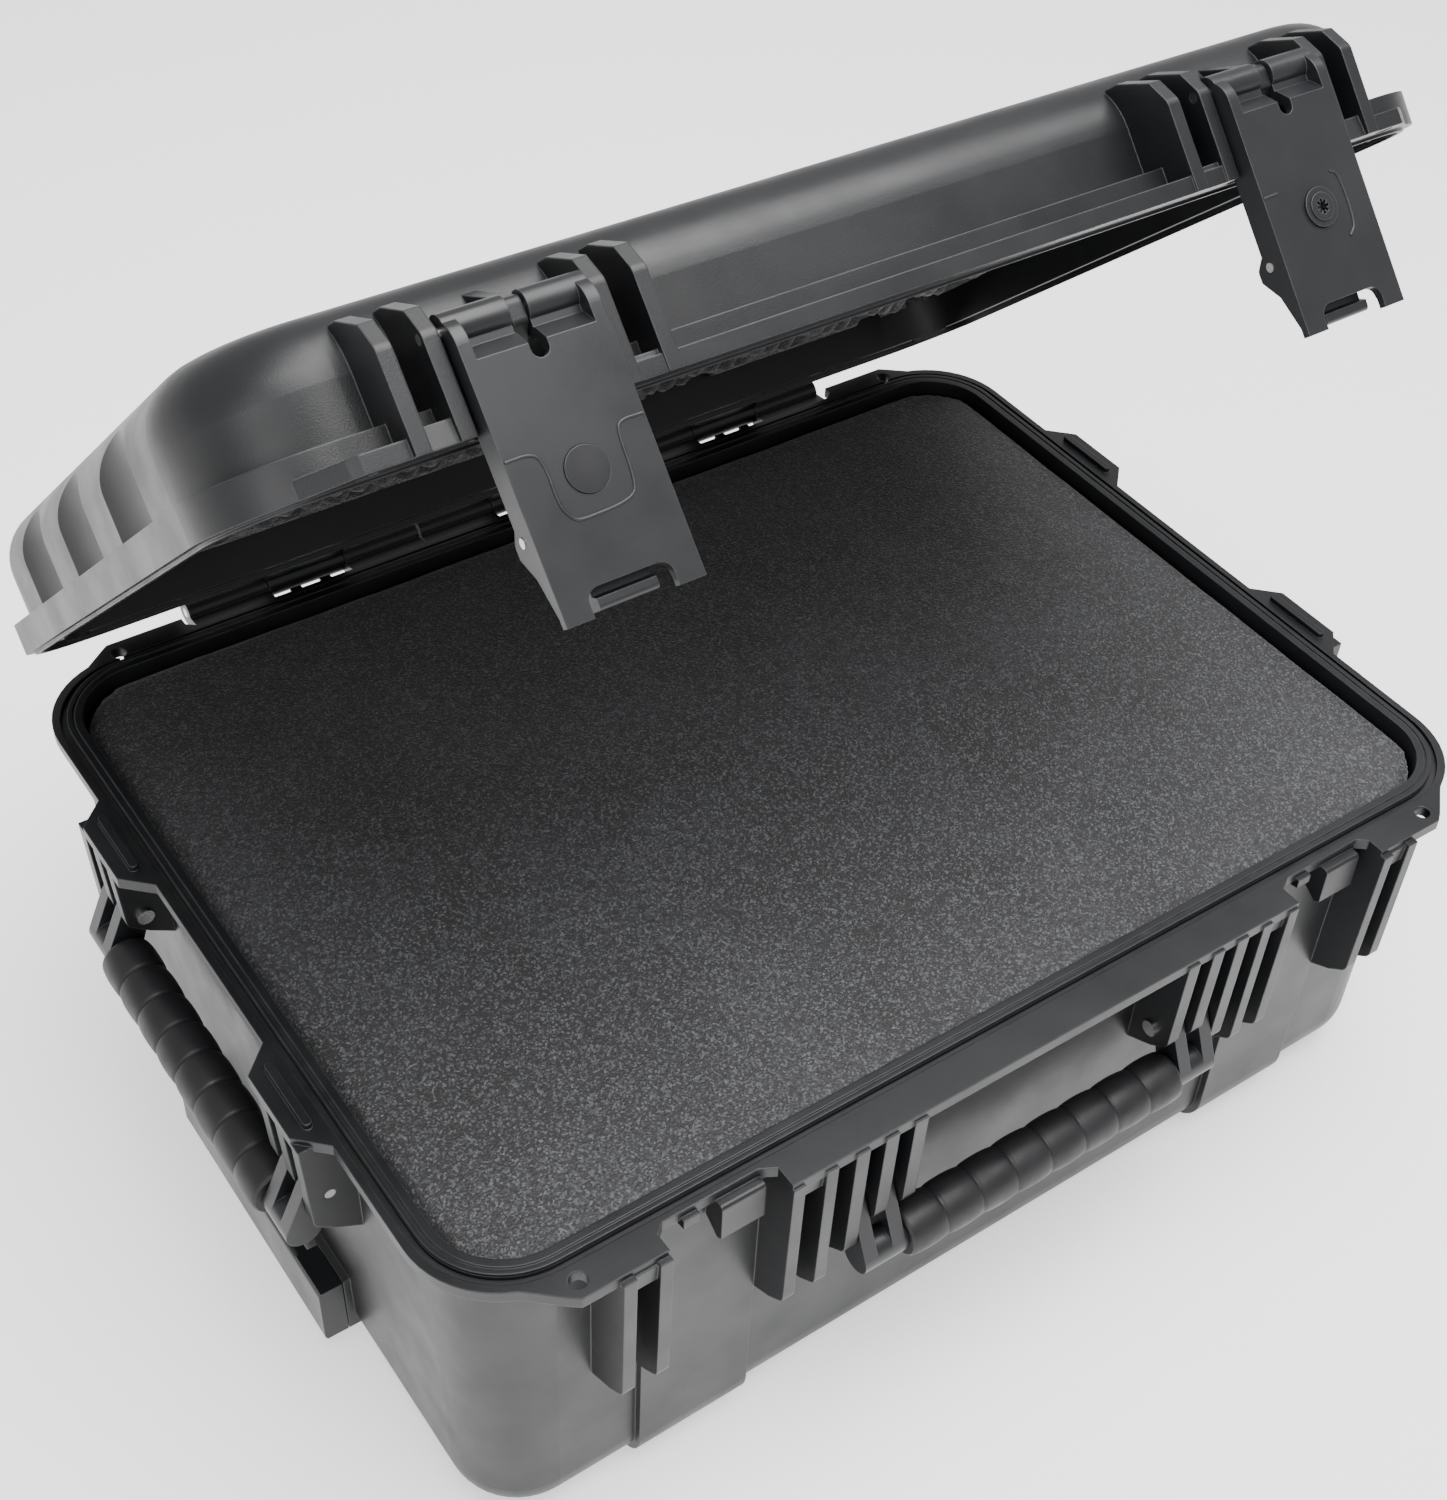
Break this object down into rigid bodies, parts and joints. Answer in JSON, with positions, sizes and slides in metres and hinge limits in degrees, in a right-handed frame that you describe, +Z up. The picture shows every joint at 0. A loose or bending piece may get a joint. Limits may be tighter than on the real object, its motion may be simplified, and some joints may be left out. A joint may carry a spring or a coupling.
{
  "type": "hard equipment case",
  "caption": "Black moulded rolling equipment case with hinged lid, foam lining, double-throw latches, swinging handles, a pull-out handle and wheels, lid part open.",
  "frame": {"origin": "middle of the underside, on the surface the case stands on", "axes": "X along the front toward the wheel end, -Y out of the front, +Z up"},
  "size_m": [0.625, 0.4996, 0.5536],
  "materials": {
    "shell": "lightly textured moulded polypropylene",
    "fittings": "satin moulded nylon",
    "grip_rubber": "soft overmould",
    "seal_rubber": "smooth elastomer",
    "wheel_rubber": "smooth polyurethane",
    "foam": "closed-cell polyurethane foam",
    "steel": "stainless steel",
    "aluminium": "anodised tube"
  },
  "bodies": {
    "base": {"base_shell": "shell", "gasket": "seal_rubber", "foam_pad": "foam", "foam_layer_lower": "foam", "foam_layer_upper": "foam", "hinge_pins": "steel", "front_handle_pins": "steel", "side_handle_pins": "steel", "valve_body": "fittings", "valve_cap": "fittings", "valve_seal": "seal_rubber", "rail_sleeves": "aluminium", "wheel_axles": "steel"},
    "lid": {"lid_shell": "shell", "lid_foam": "foam", "latch_pins": "steel"},
    "latch_left": {"latch_cover_left": "fittings", "latch_plug": "fittings", "trigger_pin_left": "steel", "trigger_spring_left": "steel"},
    "latch_right": {"latch_cover_right": "fittings", "lock_ring": "fittings", "trigger_pin_right": "steel", "trigger_spring_right": "steel"},
    "lock": {"lock_core": "fittings"},
    "trigger_left": {"trigger_left": "fittings"},
    "trigger_right": {"trigger_right": "fittings"},
    "front_handle": {"front_handle_frame": "fittings", "front_handle_grip": "grip_rubber"},
    "side_handle": {"side_handle_frame": "fittings", "side_handle_grip": "grip_rubber"},
    "pull_handle": {"pull_grip": "fittings", "pull_rails": "aluminium"},
    "wheel_front": {"wheel_tyre_front": "wheel_rubber", "wheel_hub_front": "fittings", "wheel_bearings_front": "steel"},
    "wheel_rear": {"wheel_tyre_rear": "wheel_rubber", "wheel_hub_rear": "fittings", "wheel_bearings_rear": "steel"}
  },
  "joints": [
    {"name": "lid_hinge", "type": "hinge", "parent": "base", "child": "lid", "pos_m": [0, 0.237, 0.2], "axis": [-1, 0, 0], "range_deg": [-42.5, 55]},
    {"name": "latch_left_hinge", "type": "hinge", "parent": "lid", "child": "latch_left", "pos_m": [-0.176, -0.08108, 0.54708], "axis": [-1, 0, 0], "range_deg": [-4.5, 110]},
    {"name": "latch_right_hinge", "type": "hinge", "parent": "lid", "child": "latch_right", "pos_m": [0.176, -0.08108, 0.54708], "axis": [-1, 0, 0], "range_deg": [-4.5, 110]},
    {"name": "trigger_left_hinge", "type": "hinge", "parent": "latch_left", "child": "trigger_left", "pos_m": [-0.176, -0.13323, 0.49314], "axis": [-1, 0, 0], "range_deg": [0, 9], "stiffness_Nm_per_rad": 0.5, "springref_deg": -5.73},
    {"name": "trigger_right_hinge", "type": "hinge", "parent": "latch_right", "child": "trigger_right", "pos_m": [0.176, -0.13323, 0.49314], "axis": [-1, 0, 0], "range_deg": [0, 9], "stiffness_Nm_per_rad": 0.5, "springref_deg": -5.73},
    {"name": "lock_turn", "type": "hinge", "parent": "latch_right", "child": "lock", "pos_m": [0.176, -0.1261, 0.50831], "axis": [0, -0.7373, 0.6756], "range_deg": [0, 90]},
    {"name": "front_handle_swing", "type": "hinge", "parent": "base", "child": "front_handle", "pos_m": [0, -0.222, 0.146], "axis": [-1, 0, 0], "range_deg": [0, 95]},
    {"name": "side_handle_swing", "type": "hinge", "parent": "base", "child": "side_handle", "pos_m": [-0.295, 0.006, 0.1655], "axis": [0, 1, 0], "range_deg": [0, 95]},
    {"name": "pull_handle_slide", "type": "slide", "parent": "base", "child": "pull_handle", "axis": [-1, 0, 0], "range_m": [0, 0.38]},
    {"name": "wheel_front_spin", "type": "hinge", "parent": "base", "child": "wheel_front", "pos_m": [0.276, -0.15, 0.027], "axis": [0, 1, 0], "continuous": true},
    {"name": "wheel_rear_spin", "type": "hinge", "parent": "base", "child": "wheel_rear", "pos_m": [0.276, 0.15, 0.027], "axis": [0, 1, 0], "continuous": true}
  ]
}
